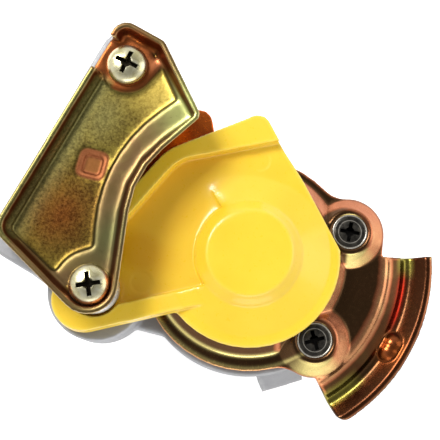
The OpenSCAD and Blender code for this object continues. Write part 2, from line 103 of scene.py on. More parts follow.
def softened(node, name, grid, passes):
    """Copy of a solid on an even grid, with its edges rolled over as on a casting, moulding or pressing."""
    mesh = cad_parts[node].data.copy()
    merged(mesh)
    mesh.materials.clear()
    piece = shown(name, mesh)
    even = piece.modifiers.new("Even grid", "REMESH")
    even.mode = "VOXEL"
    even.voxel_size = grid * MM
    even.use_smooth_shade = True
    roll = piece.modifiers.new("Rolled edges", "SMOOTH")
    roll.factor = SMOOTH_SHARE
    roll.iterations = passes
    settle(piece)
    piece.data.shade_smooth()
    return piece


def pressed(piece, weights, passes):
    """Smooths a piece's heights further where its weights are above zero."""
    group = piece.vertex_groups.new(name="press")
    shares = np.round(weights, 1)
    for share in np.unique(shares):
        if share > 0:
            group.add(np.flatnonzero(shares == share).tolist(), float(share), "REPLACE")
    soft = piece.modifiers.new("Pressed", "SMOOTH")
    soft.factor = SMOOTH_SHARE
    soft.iterations = passes
    soft.vertex_group = group.name
    soft.use_x, soft.use_y, soft.use_z = False, False, True
    settle(piece)
    piece.vertex_groups.clear()


def points_of(mesh):
    co = np.empty(len(mesh.vertices) * 3, np.float32)
    mesh.vertices.foreach_get("co", co)
    return co.reshape(-1, 3)


def normals_of(mesh):
    no = np.empty(len(mesh.vertices) * 3, np.float32)
    mesh.vertex_normals.foreach_get("vector", no)
    return no.reshape(-1, 3)


def give(mesh, name, values):
    """Adds a layer of values on a mesh's points, for a finish to read."""
    layer = mesh.attributes.new(name, "FLOAT", "POINT")
    layer.data.foreach_set("value", np.ascontiguousarray(values, np.float32))


def moved(mesh, co):
    """Puts a mesh's points at places in millimetres."""
    mesh.vertices.foreach_set("co", np.ascontiguousarray(co * MM, np.float32).ravel())
    mesh.update()


def edge_roll(mesh, passes):
    """How strongly the surface bulges at each point, spread over neighbours: above zero on outer edges."""
    co, no = points_of(mesh), normals_of(mesh)
    ends = np.empty(len(mesh.edges) * 2, np.int32)
    mesh.edges.foreach_get("vertices", ends)
    a, b = ends.reshape(-1, 2).T
    d = co[a] - co[b]
    far = np.linalg.norm(d, axis=1) + 1e-9
    bulge = np.einsum("ij,ij->i", no[a] - no[b], d) / (far * far)
    count = np.bincount(a, minlength=len(co)) + np.bincount(b, minlength=len(co)) + 1e-9
    value = (np.bincount(a, bulge, len(co)) + np.bincount(b, bulge, len(co))) / count
    for _ in range(passes):
        value = (np.bincount(a, value[b], len(co)) + np.bincount(b, value[a], len(co))) / count
    return value * MM


def turned(name, profile, sides=96):
    """Mesh turned around Z from a profile of radius and height pairs."""
    work = bmesh.new()
    rings = []
    for radius, height in profile:
        if radius < 1e-6:
            rings.append([work.verts.new((0, 0, height * MM))])
            continue
        rings.append(
            [
                work.verts.new((radius * MM * math.cos(t), radius * MM * math.sin(t), height * MM))
                for t in (2 * math.pi * k / sides for k in range(sides))
            ]
        )
    for low, high in zip(rings, rings[1:]):
        for k in range(sides):
            n = (k + 1) % sides
            corners = [low[k % len(low)], low[n % len(low)], high[n % len(high)], high[k % len(high)]]
            corners = list(dict.fromkeys(corners))
            if len(corners) > 2:
                work.faces.new(corners)
    bmesh.ops.recalc_face_normals(work, faces=work.faces)
    mesh = bpy.data.meshes.new(name)
    work.to_mesh(mesh)
    work.free()
    return mesh


def rolled(piece, width, angle):
    """Rounds a piece's sharp edges where a width is given, and shades it smooth."""
    if width:
        bevel = piece.modifiers.new("Broken edges", "BEVEL")
        bevel.width = width * MM
        bevel.segments = 2
        bevel.limit_method = "ANGLE"
        bevel.angle_limit = math.radians(angle)
        settle(piece)
    piece.data.shade_smooth()
    piece.data.set_sharp_from_angle(angle=SHARP_ANGLE)
    even = piece.modifiers.new("Flat faces", "WEIGHTED_NORMAL")
    even.weight = 100
    even.keep_sharp = True
    settle(piece)


# Layers on a mesh's points


def ramp(values, low, high):
    """Rises from 0 at low to 1 at high."""
    return np.clip((values - low) / (high - low), 0, 1)


def within(values, low, full, end, gone):
    """Rises from low to full, and falls again from end to gone."""
    return ramp(values, low, full) * ramp(-values, -gone, -end)


def line_at(values, place, width):
    """Soft line at a place, with its half width."""
    return np.exp(-(((values - place) / width) ** 2))


def near(co, place, reach):
    """Soft patch in plan around a place, with its reach along X and Y."""
    d = (co[:, :2] - np.array(place)) / np.array(reach)
    return np.exp(-np.einsum("ij,ij->i", d, d))


def off(co, place):
    """Distance in plan from a place."""
    return np.hypot(co[:, 0] - place[0], co[:, 1] - place[1])


def most(*layers):
    """The strongest of several layers at each point."""
    return np.maximum.reduce(layers)


# Node trees


def tree_of(name, inputs):
    tree = bpy.data.node_groups.new(name, "GeometryNodeTree")
    tree.interface.new_socket("Geometry", in_out="INPUT", socket_type="NodeSocketGeometry")
    for label, kind in inputs:
        tree.interface.new_socket(label, in_out="INPUT", socket_type="NodeSocket" + kind)
    tree.interface.new_socket("Geometry", in_out="OUTPUT", socket_type="NodeSocketGeometry")
    return tree, tree.nodes.new("NodeGroupInput"), tree.nodes.new("NodeGroupOutput")


def step(tree, kind, settings=None, **inputs):
    """Adds a node, with its inputs taken from other sockets or set to values."""
    node = tree.nodes.new(kind)
    for key, value in (settings or {}).items():
        setattr(node, key, value)
    for key, value in inputs.items():
        socket = node.inputs[key.replace("_", " ")]
        if isinstance(value, bpy.types.NodeSocket):
            tree.links.new(value, socket)
        else:
            socket.default_value = value
    return node


def times(tree, socket, factor):
    node = step(tree, "ShaderNodeMath", {"operation": "MULTIPLY"})
    tree.links.new(socket, node.inputs[0])
    node.inputs[1].default_value = factor
    return node.outputs[0]


def grow(piece, tree, values):
    """Runs a tree on a piece with its named inputs, and leaves plain mesh."""
    modifier = piece.modifiers.new(tree.name, "NODES")
    modifier.node_group = tree
    for item in tree.interface.items_tree:
        if item.item_type == "SOCKET" and item.in_out == "INPUT" and item.name in values:
            modifier[item.identifier] = values[item.name]
    settle(piece)


# Finishes

NOISE_LOW = 0.3
NOISE_HIGH = 0.7


class Finish:
    """A procedural material on Object coordinates and on the layers of a piece."""

    def __init__(self, name):
        self.material = bpy.data.materials.new(name)
        self.material.use_nodes = True
        self.nodes = self.material.node_tree.nodes
        self.links = self.material.node_tree.links
        self.surface = self.nodes["Principled BSDF"]
        self.place = self.nodes.new("ShaderNodeTexCoord").outputs["Object"]

    def put(self, socket, value):
        if isinstance(value, bpy.types.NodeSocket):
            self.links.new(value, socket)
        elif value is not None:
            socket.default_value = value

    def set(self, **inputs):
        for key, value in inputs.items():
            self.put(self.surface.inputs[key.replace("_", " ")], value)

    def noise(self, per_mm, detail=3.0, rough=0.5, warp=0.0, stretch=None):
        node = self.nodes.new("ShaderNodeTexNoise")
        node.inputs["Scale"].default_value = per_mm / MM
        node.inputs["Detail"].default_value = detail
        node.inputs["Roughness"].default_value = rough
        node.inputs["Distortion"].default_value = warp
        place = self.place
        if stretch:
            mapping = self.nodes.new("ShaderNodeMapping")
            mapping.inputs["Scale"].default_value = stretch
            self.links.new(place, mapping.inputs["Vector"])
            place = mapping.outputs["Vector"]
        self.links.new(place, node.inputs["Vector"])
        return node.outputs["Fac"]

    def layer(self, name):
        node = self.nodes.new("ShaderNodeAttribute")
        node.attribute_name = name
        return node.outputs["Fac"]

    def math(self, how, a, b=None, c=None):
        node = self.nodes.new("ShaderNodeMath")
        node.operation = how
        for socket, value in zip(node.inputs, (a, b, c)):
            self.put(socket, value)
        return node.outputs["Value"]

    def span(self, value, low, high, to_low=0.0, to_high=1.0):
        node = self.nodes.new("ShaderNodeMapRange")
        limits = {"From Min": low, "From Max": high, "To Min": to_low, "To Max": to_high}
        for key, limit in {"Value": value, **limits}.items():
            self.put(node.inputs[key], limit)
        return node.outputs["Result"]

    def spread(self, noise, low, high):
        """Maps the usual range of a noise to two limits."""
        return self.span(noise, NOISE_LOW, NOISE_HIGH, low, high)

    def ramp(self, value, stops):
        node = self.nodes.new("ShaderNodeValToRGB")
        points = node.color_ramp.elements
        while len(points) < len(stops):
            points.new(0.5)
        for point, (at, colour) in zip(points, stops):
            point.position = at
            point.color = (*colour, 1.0)
        self.links.new(value, node.inputs["Fac"])
        return node.outputs["Color"]

    def mix(self, share, a, b, how="MIX"):
        node = self.nodes.new("ShaderNodeMix")
        node.data_type = "RGBA"
        node.blend_type = how
        for key, value in (("Factor_Float", share), ("A_Color", a), ("B_Color", b)):
            socket = next(s for s in node.inputs if s.identifier == key)
            self.put(socket, (*value, 1.0) if isinstance(value, tuple) else value)
        return next(s for s in node.outputs if s.identifier == "Result_Color")

    def bump(self, *layers):
        """Stacks height layers given as value, depth in millimetres."""
        normal = None
        for value, depth in layers:
            node = self.nodes.new("ShaderNodeBump")
            node.inputs["Strength"].default_value = 1.0
            node.inputs["Distance"].default_value = depth * MM
            self.links.new(value, node.inputs["Height"])
            if normal:
                self.links.new(normal, node.inputs["Normal"])
            normal = node.outputs["Normal"]
        self.links.new(normal, self.surface.inputs["Normal"])

    def wear(self, piece):
        piece.data.materials.clear()
        piece.data.materials.append(self.material)


def cast_aluminium():
    f = Finish("cast aluminium")
    cloud = f.noise(0.06, 4, 0.6)
    grain = f.noise(1.6, 5, 0.65)
    tone = f.ramp(cloud, [(0.25, (0.27, 0.27, 0.28)), (0.5, (0.33, 0.33, 0.34)), (0.8, (0.40, 0.40, 0.41))])
    # Paler on outer edges
    paler_edges = f.span(f.layer("roll"), 0.05, 0.5, 0.0, 0.5)
    f.set(
        Base_Color=f.mix(paler_edges, tone, (0.52, 0.52, 0.52)),
        Metallic=0.45,
        Roughness=f.spread(grain, 0.46, 0.64),
    )
    f.bump((grain, 0.05), (f.noise(0.35, 3, 0.5), 0.12))
    return f


def claw_chromate():
    f = Finish("gold chromate on the claw plate")
    film = f.noise(0.09, 4, 0.55, 0.8)
    fine = f.noise(0.8, 4, 0.6)
    # Painted pink sheen on slopes and rolled edges, over the film's own variation, rising from the dark
    # flats, which are a painted dark reflection
    colour = f.ramp(
        f.math("ADD", f.layer("pink_sheen"), f.spread(film, -0.02, 0.16)),
        [
            (0.00, (0.085, 0.048, 0.026)),
            (0.22, (0.100, 0.050, 0.028)),
            (0.40, (0.30, 0.105, 0.055)),
            (0.60, (0.50, 0.195, 0.120)),
            (0.82, (0.60, 0.28, 0.165)),
            (1.00, (0.80, 0.54, 0.30)),
        ],
    )
    # Painted dark reflection: dark red-brown on the steep walls
    wall = f.ramp(
        film, [(0.3, (0.075, 0.010, 0.005)), (0.5, (0.065, 0.020, 0.008)), (0.7, (0.07, 0.045, 0.015))]
    )
    wing = f.ramp(film, [(0.3, (0.58, 0.100, 0.020)), (0.7, (0.88, 0.220, 0.040))])
    colour = f.mix(f.layer("wall"), colour, wall)
    colour = f.mix(f.layer("outer"), colour, (0.055, 0.020, 0.010))
    colour = f.mix(f.layer("red"), colour, (0.66, 0.035, 0.018))
    colour = f.mix(f.layer("olive"), colour, (0.24, 0.22, 0.055))
    colour = f.mix(f.layer("wing"), colour, wing)
    # Painted highlight: cream glints and lines
    colour = f.mix(f.layer("glint"), colour, (0.97, 0.87, 0.42))
    f.set(
        Base_Color=f.mix(1.0, colour, (1.0, 0.92, 0.70), "MULTIPLY"),
        Metallic=0.95,
        Specular_IOR_Level=0.3,
        Roughness=f.spread(fine, 0.18, 0.30),
    )
    f.bump((fine, 0.012), (f.noise(0.12, 2, 0.5), 0.05))
    return f


def guide_tray(f, film, speck):
    """Speckled olive of the sunk floor, with its cool, rusty and golden patches."""
    tray = f.ramp(
        f.math("MULTIPLY_ADD", speck, 0.9, f.span(film, 0.25, 0.75, -0.10, 0.12)),
        [
            (0.26, (0.05, 0.040, 0.016)),
            (0.40, (0.16, 0.130, 0.050)),
            (0.54, (0.28, 0.255, 0.085)),
            (0.66, (0.35, 0.330, 0.115)),
            (0.85, (0.42, 0.340, 0.150)),
        ],
    )
    cool = f.ramp(speck, [(0.3, (0.18, 0.200, 0.130)), (0.65, (0.40, 0.440, 0.320))])
    rust = f.ramp(speck, [(0.35, (0.10, 0.036, 0.014)), (0.65, (0.36, 0.125, 0.050))])
    gold = f.ramp(speck, [(0.35, (0.62, 0.43, 0.080)), (0.65, (0.90, 0.68, 0.15))])
    tray = f.mix(f.layer("cool"), tray, cool)
    tray = f.mix(f.layer("rust"), tray, rust)
    tray = f.mix(1.0, tray, (0.60, 0.50, 0.25), "MULTIPLY")
    return f.mix(f.layer("gold"), tray, gold)


def guide_band(f, film):
    """Mauve band, with its teal and pale stretches, the red brown screw seat and a painted pink sheen beside
    it.
    """
    band = f.ramp(
        f.math("MULTIPLY_ADD", f.noise(0.3, 3, 0.55, 0.4, (1.0, 0.35, 1.0)), 0.3, film),
        [
            (0.35, (0.230, 0.180, 0.120)),
            (0.60, (0.310, 0.225, 0.175)),
            (0.85, (0.350, 0.300, 0.190)),
        ],
    )
    band = f.mix(f.layer("teal"), band, (0.165, 0.225, 0.160))
    band = f.mix(1.0, band, (0.62, 0.52, 0.28), "MULTIPLY")
    band = f.mix(f.layer("pale"), band, (0.48, 0.50, 0.17))
    band = f.mix(f.layer("pad"), band, (0.27, 0.075, 0.020))
    # Painted pink sheen beside the back screw seat
    return f.mix(f.layer("pink_sheen"), band, (0.42, 0.14, 0.055))


def guide_rim(f, film):
    """Brown rim wall, a painted dark reflection, with a painted highlight on its pale rolled edge."""
    rim = f.ramp(
        f.math("MULTIPLY_ADD", f.layer("roll"), 0.8, f.spread(film, 0.0, 0.3)),
        [
            (0.15, (0.130, 0.034, 0.009)),
            (0.35, (0.210, 0.070, 0.021)),
            (0.60, (0.42, 0.26, 0.115)),
            (0.90, (0.66, 0.52, 0.28)),
        ],
    )
    return f.mix(f.layer("red"), rim, (0.21, 0.035, 0.008))


def guide_chromate():
    f = Finish("olive chromate on the guide plate")
    film = f.noise(0.08, 4, 0.6, 0.9)
    speck = f.noise(1.3, 5, 0.75, 0.2)
    detent = f.ramp(speck, [(0.3, (0.26, 0.087, 0.030)), (0.6, (0.42, 0.15, 0.060))])
    colour = f.mix(f.layer("floor"), guide_band(f, film), guide_tray(f, film, speck))
    # Painted shade: dark olive on the step between tray and band
    colour = f.mix(f.layer("step"), colour, (0.040, 0.030, 0.008))
    # Painted reflection on the rim walls: dark brown, with painted highlights on rolled edges
    colour = f.mix(f.layer("wall"), colour, guide_rim(f, film))
    colour = f.mix(f.layer("detent"), colour, detent)
    colour = f.mix(f.layer("pit"), colour, (0.16, 0.070, 0.016))
    dull = f.math("MAXIMUM", f.layer("detent"), f.layer("step"))
    f.set(
        Base_Color=colour,
        Metallic=0.92,
        Specular_IOR_Level=0.3,
        Roughness=f.math("MULTIPLY_ADD", dull, 0.22, f.spread(speck, 0.27, 0.38)),
    )
    f.bump((speck, 0.012), (f.noise(0.2, 3, 0.5), 0.05))
    return f


def yellow_plastic():
    f = Finish("glossy yellow plastic")
    cloud = f.noise(0.05, 3, 0.5)
    fine = f.noise(0.9, 4, 0.6)
    tone = f.ramp(
        cloud, [(0.25, (0.91, 0.58, 0.026)), (0.5, (0.95, 0.635, 0.038)), (0.8, (0.97, 0.675, 0.055))]
    )
    # Painted shade: deeper orange on the pocket floor
    tone = f.mix(f.layer("deep"), tone, (0.80, 0.42, 0.008))
    # Paler on rolled outer edges: painted highlight
    f.set(
        Base_Color=f.mix(f.span(f.layer("roll"), 0.1, 0.6, 0.0, 0.35), tone, (1.0, 0.80, 0.16)),
        Roughness=f.spread(fine, 0.26, 0.36),
        Specular_IOR_Level=0.45,
        Subsurface_Weight=0.12,
        Subsurface_Radius=(0.9, 0.5, 0.06),
        Subsurface_Scale=0.0012,
        Coat_Weight=0.35,
        Coat_Roughness=0.12,
    )
    f.bump((fine, 0.012), (f.noise(0.14, 3, 0.5), 0.06))
    return f


def seal_rubber():
    f = Finish("seal rubber")
    dust = f.noise(0.25, 5, 0.65)
    fine = f.noise(2.2, 4, 0.6)
    f.set(
        Base_Color=f.ramp(dust, [(0.3, (0.018, 0.018, 0.019)), (0.7, (0.045, 0.044, 0.043))]),
        Roughness=f.spread(fine, 0.55, 0.75),
    )
    f.bump((fine, 0.02))
    return f


def spring_steel():
    f = Finish("drawn spring wire")
    drawn = f.noise(1.2, 4, 0.6)
    f.set(
        Base_Color=f.ramp(drawn, [(0.3, (0.42, 0.42, 0.43)), (0.7, (0.60, 0.60, 0.60))]),
        Metallic=1.0,
        Roughness=f.spread(drawn, 0.22, 0.38),
    )
    f.bump((drawn, 0.01))
    return f


def dark_screw_steel():
    f = Finish("dark oiled screw steel")
    film = f.noise(0.6, 4, 0.6)
    tone = f.ramp(
        film, [(0.3, (0.030, 0.027, 0.023)), (0.55, (0.060, 0.055, 0.046)), (0.8, (0.11, 0.095, 0.07))]
    )
    # Painted shade: near black down in the cross recess
    tone = f.mix(f.layer("recess"), tone, (0.010, 0.009, 0.008))
    f.set(
        Base_Color=f.mix(f.layer("ring"), tone, (0.62, 0.58, 0.50)),
        Metallic=0.85,
        Roughness=f.spread(film, 0.24, 0.40),
    )
    f.bump((f.noise(2.0, 3, 0.6), 0.015))
    return f


def pale_screw_zinc():
    f = Finish("pale passivated screw zinc")
    film = f.noise(0.3, 4, 0.55, 0.6)
    tone = f.ramp(film, [(0.25, (0.52, 0.46, 0.20)), (0.5, (0.74, 0.68, 0.42)), (0.75, (0.84, 0.82, 0.64))])
    # Painted shade: near black down in the cross recess
    f.set(
        Base_Color=f.mix(f.layer("recess"), tone, (0.022, 0.018, 0.012)),
        Metallic=1.0,
        Roughness=f.spread(film, 0.22, 0.34),
    )
    f.bump((f.noise(1.5, 3, 0.6), 0.015))
    return f


# Pieces


def fitted(piece, body, node, finish):
    finish.wear(piece)
    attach(piece, body)
    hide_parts(node)


def make_body():
    piece = softened("body", "body_casting", grid=0.66, passes=4)
    give(piece.data, "roll", edge_roll(piece.data, passes=2))
    fitted(piece, "head", "body", cast_aluminium())


# Claw plate: radii in millimetres and angles in degrees around the seal axis, places and directions in plan

# Here and below, ranges named LEFT or DOWN count towards -X or -Y
LIP_BEND = (41.0, 43.0, 45.6, 47.0)
LIP_HALF_ANGLE = 32
LIP_START = (45.0, 46.6)
LIP_TROUGH = (47.5, 49.5, 52.5, 54.0)
LIP_OUTER = (53.0, 54.0, 58.1, 58.6)
RED_STREAK = (50.2, 1.2)
RED_STREAK_ANGLES = (2, 9, 20, 28)
OLIVE_UP = (23, 28)
OLIVE_DOWN = (15, 21)
NUB = (52.9, -2.2)
NUB_REACH = (3.5, 4.5)
WING_LEFT = (20, 30)
# Where the painted dark flats, glints and highlight lines lie on the ears and border
EAR_FLAT_SHIFT = (-1.2, -1.9)
EAR_LIGHT = (30.5, 31.5, 45.0, 46.5)
BORDER_DOWN = (12, 20)
BORDER_END = (34.0, 35.0)
BORDER_GLINT = (31.0, 0.55)
RIM_CENTRE = (0.6, -1.0)
RIM_GLINT = (33.4, 0.6)
RIM_DOWN = (12, 22)
# Directions and strengths of the painted pink sheen and glints
TO_LIP = (0.98, 0.20)
TO_PICTURE_FOOT = (0.50, -0.87)
PINK = 0.74
PINK_LOSS = 0.26


def colour_claw_edges(mesh):
    """Layers of the ears and the border: painted pink sheen on slopes and edges, painted dark reflection on
    the flats around the screws, painted highlight lines and glints.
    """
    co, no = points_of(mesh) / MM, normals_of(mesh)
    x, y, z = co.T
    radius = np.hypot(x, y)
    angle = np.degrees(np.arctan2(y, x))
    tilt = 1.0 - np.abs(no[:, 2])
    raised = ramp(z, BORDER_Z + 0.1, BORDER_Z + 0.9)
    away = no[:, 0] * TO_LIP[0] + no[:, 1] * TO_LIP[1]
    below = no[:, 0] * TO_PICTURE_FOOT[0] + no[:, 1] * TO_PICTURE_FOOT[1]
    flats = [np.add(polar(EAR_RADIUS, a), EAR_FLAT_SHIFT) for a in EAR_ANGLES]
    off_flat = np.min([off(co, place) for place in flats], axis=0)
    # Painted pink sheen on rolled edges, along the lip's bend and on slopes facing the lip or the foot of the
    # view, weaker on slopes facing up; the flats round the screws stay dark as a painted dark reflection, and
    # the lower border loses most of the sheen
    edges = 1.2 * np.maximum(edge_roll(mesh, passes=4), 0) * ramp(off_flat, 7.4, 8.6)
    sides = ramp(tilt, 0.02, 0.15) * ramp(most(away, -below), -0.10, 0.25)
    slopes = raised * sides * ramp(off_flat, 8.0, 9.4)
    pink = PINK - PINK_LOSS * ramp(-below, 0.0, 0.5)
    bend = PINK * within(radius, *LIP_BEND) * (np.abs(angle) < LIP_HALF_ANGLE)
    border = ramp(-y, *BORDER_DOWN) * (1 - ramp(radius, *BORDER_END)) * ramp(off_flat, 9, 11)
    give(mesh, "pink_sheen", most(edges, pink * slopes, bend) * (1 - 0.8 * border))
    # Painted highlights: cream glints on the ear slopes facing down the view, and pale lines along the lower
    # border
    lit = raised * ramp(below, 0.45, 0.80) * within(radius, *EAR_LIGHT)
    rim = line_at(off(co, RIM_CENTRE), *RIM_GLINT) * ramp(-y, *RIM_DOWN)
    line = line_at(radius, *BORDER_GLINT) * border
    give(mesh, "glint", most(0.95 * lit, 0.6 * rim, 0.9 * line))


def colour_claw_lip(mesh):
    """Layers of the lip and the wing: painted dark reflection on the walls, a red streak, olive ends of the
    trough, orange wing.
    """
    co, no = points_of(mesh) / MM, normals_of(mesh)
    x, y, _ = co.T
    radius = np.hypot(x, y)
    angle = np.degrees(np.arctan2(y, x))
    tilt = 1.0 - np.abs(no[:, 2])
    # Painted dark reflection on the steep walls of the lip
    give(mesh, "wall", ramp(radius, *LIP_START) * ramp(tilt, 0.05, 0.25))
    give(mesh, "outer", 0.85 * within(radius, *LIP_OUTER))
    give(mesh, "red", line_at(radius, *RED_STREAK) * within(angle, *RED_STREAK_ANGLES))
    ends = most(ramp(angle, *OLIVE_UP), ramp(-angle, *OLIVE_DOWN))
    give(mesh, "olive", within(radius, *LIP_TROUGH) * ends)
    give(mesh, "wing", most(ramp(-x, *WING_LEFT), 0.35 * near(co, NUB, NUB_REACH)))


def make_claw_plate():
    piece = softened("claw_plate", "claw_plate_pressing", grid=0.42, passes=6)
    colour_claw_edges(piece.data)
    colour_claw_lip(piece.data)
    fitted(piece, "head", "claw_plate", claw_chromate())


# Guide plate: places and reaches in plan, in millimetres, with each patch's strength last

RIM_GAP_LEFT = (64.5, 66.5)
RIM_GAP_Y = (23.6, 25.0, 34.6, 35.8)
RIM_GAP_TOP = 64.0
RIM_GAP_SHIFT = 1.3
TRAY_LEFT = (60.5, 62.0)
TRAY_DOWN = (-25, -22)
COOL_LEFT = (58, 64)
COOL_PATCH = ((-59.0, 13.0), (6, 9))
SEAT_RADIUS = (9, 11)
DETENT_REACH = (6, 6)
DETENT_EDGE = (4.2, 4.9)
DETENT_PIT = (1.9, 2.6)
GUIDE_PATCHES = (
    ("rust", (-53.5, -19.0), (9, 12), 0.85),
    ("gold", (-47.0, 30.5), (9, 9), 1.0),
    ("teal", (-38.2, -18.0), (6, 10), 0.75),
    ("pale", (-38.0, 27.0), (7, 9), 1.0),
    # Painted pink sheen on the slope right of the back screw seat
    ("pink_sheen", (-53.0, 35.0), (2.5, 2.5), 1.0),
    ("red", (-57.0, 41.0), (9, 5), 0.8),
)


def colour_guide_plate(mesh):
    """Layers of the tray, band, rim, screw seat and detent, with painted shade on the step, painted
    reflection on the rim walls and a painted pink sheen beside the seat.
    """
    co, no = points_of(mesh) / MM, normals_of(mesh)
    x, y, z = co.T
    give(mesh, "roll", edge_roll(mesh, passes=4))
    left = ramp(-x, *TRAY_LEFT) * ramp(-y, *TRAY_DOWN)
    wall_foot = BAND_TOP + 0.3 + 1.3 * left
    # Rim walls, painted as dark reflection with highlights on rolled edges
    give(mesh, "wall", ramp(1.0 - np.abs(no[:, 2]), 0.12, 0.45) * ramp(z - wall_foot, 0, 1.2))
    give(mesh, "floor", most(left, ramp(BAND_TOP - z, 0.3, 0.7)))
    # Painted shade on the step between tray and band
    between = within(z, GUIDE_TOP + 0.05, GUIDE_TOP + 0.25, BAND_TOP - 0.1, BAND_TOP + 0.15)
    give(mesh, "step", 0.7 * between * ramp(1.0 - no[:, 2], 0.01, 0.08) * ramp(x, -60, -57))
    give(mesh, "cool", most(0.8 * ramp(-x, *COOL_LEFT), 0.6 * near(co, *COOL_PATCH)))
    give(mesh, "pad", 1 - ramp(off(co, BACK_SCREW), *SEAT_RADIUS))
    for layer, place, reach, strength in GUIDE_PATCHES:
        give(mesh, layer, strength * near(co, place, reach))
    c, s = polar(1, DETENT_TURN)
    dx, dy = x - DETENT[0], y - DETENT[1]
    square = ((c * dx + s * dy) ** 4 + (c * dy - s * dx) ** 4) ** 0.25
    give(mesh, "detent", 1 - ramp(square, *DETENT_EDGE))
    give(mesh, "pit", 0.7 * (1 - ramp(square, *DETENT_PIT)))


def make_guide_plate():
    piece = softened("guide_plate", "guide_plate_pressing", grid=0.36, passes=6)
    co = points_of(piece.data) / MM
    x, y, z = co.T
    gap = ramp(-x, *RIM_GAP_LEFT) * within(y, *RIM_GAP_Y) * (z < RIM_GAP_TOP)
    x -= RIM_GAP_SHIFT * gap
    moved(piece.data, co)
    kept = most(near(co, DETENT, DETENT_REACH), ramp(z, BAND_TOP + 0.2, BAND_TOP + 1.2))
    pressed(piece, (1 - np.clip(1.5 * kept, 0, 1)) * (z > GUIDE_TOP - 0.5), passes=40)
    colour_guide_plate(piece.data)
    fitted(piece, "head", "guide_plate", guide_chromate())


# Cover: places and reaches in plan, in millimetres

POCKET_STEP_END = ((-18.0, 11.0), (8, 8))
# Patches of painted shade on the pocket floor
POCKET_SHADE_FOOT = ((-30.0, -16.0), (11, 9))
POCKET_SHADE_HEAD = ((-30.0, 20.0), (7, 12))
POCKET_SHADE_LEFT = (17, 25)
EJECTOR_MARKS = ((-12.0, 28.5), (-24.5, -24.0))
EJECTOR_RADIUS = 3.4
EJECTOR_DEPTH = 0.12
TAB_SHIFT = 1.2
TAB_Y = (16, 38)
TAB_LEFT = (-4, 6)


def make_cover():
    piece = softened("cover", "cover_moulding", grid=0.42, passes=5)
    co = points_of(piece.data) / MM
    fading = np.clip(1.4 * near(co, *POCKET_STEP_END), 0, 1)
    pressed(piece, fading * (co[:, 2] > SLAB_Z - 0.6), passes=160)
    mesh = piece.data
    co, no = points_of(mesh) / MM, normals_of(mesh)
    x, y, z = co.T
    for place in EJECTOR_MARKS:
        inside = np.clip((EJECTOR_RADIUS - off(co, place)) / 0.5 + 0.5, 0, 1)
        z -= EJECTOR_DEPTH * inside * (no[:, 2] > 0.7)
    y -= TAB_SHIFT * ramp(y, *TAB_Y) * ramp(-x, *TAB_LEFT)
    moved(mesh, co)
    give(mesh, "roll", edge_roll(mesh, passes=3))
    # Painted shade: deeper orange on the low, upward-facing pocket floor, strongest at the foot and head
    # patches and towards the left
    low = (1 - ramp(z - SLAB_Z, 0.5, 2.5)) * (no[:, 2] > 0.5)
    deep = most(1.2 * near(co, *POCKET_SHADE_FOOT), 0.8 * near(co, *POCKET_SHADE_HEAD), 0.6 * ramp(-x, *POCKET_SHADE_LEFT))
    give(mesh, "deep", low * np.clip(deep, 0, 1))
    fitted(piece, "lid", "cover", yellow_plastic())


# Seal


def make_seal():
    low, top, bore, collar, flange = 38.5, 42.5, 11.0, 19.2, 24.0
    ridge_start, ridge_step, ridge_drop = 1.6, 1.5, 0.35
    ridges = []
    for k in range(4):
        drop = 0.0 if k % 2 else ridge_drop
        ridges.append((collar - ridge_start - ridge_step * k, FACE_Z - drop))
    profile = [(bore, low), (flange, low), (flange, top), (collar, top)]
    profile += [(collar, FACE_Z - 0.8), (collar - 0.8, FACE_Z - 0.1)]
    profile += ridges
    profile += [(bore + 1.4, FACE_Z - 0.9), (bore, FACE_Z - 2.0), (bore, low)]
    piece = shown("face_seal_rubber", turned("face_seal_rubber", profile))
    merged(piece.data, outward=True)
    rolled(piece, width=0.25, angle=30)
    fitted(piece, "head", "face_seal", seal_rubber())


# Screws, in millimetres: the recess's arm, core and reach are shares of its width, the drop of its depth

RECESS_ARM = 0.19
RECESS_CORE = 0.25
RECESS_CORE_DROP = -0.97
RECESS_TIP = 0.4
RECESS_REACH = 0.58
RECESS_SHADE = (1.2, 1.6)
SHANK = 3.0
SHANK_TIP = 2.6
RING_HALF_WIDTH = 0.06


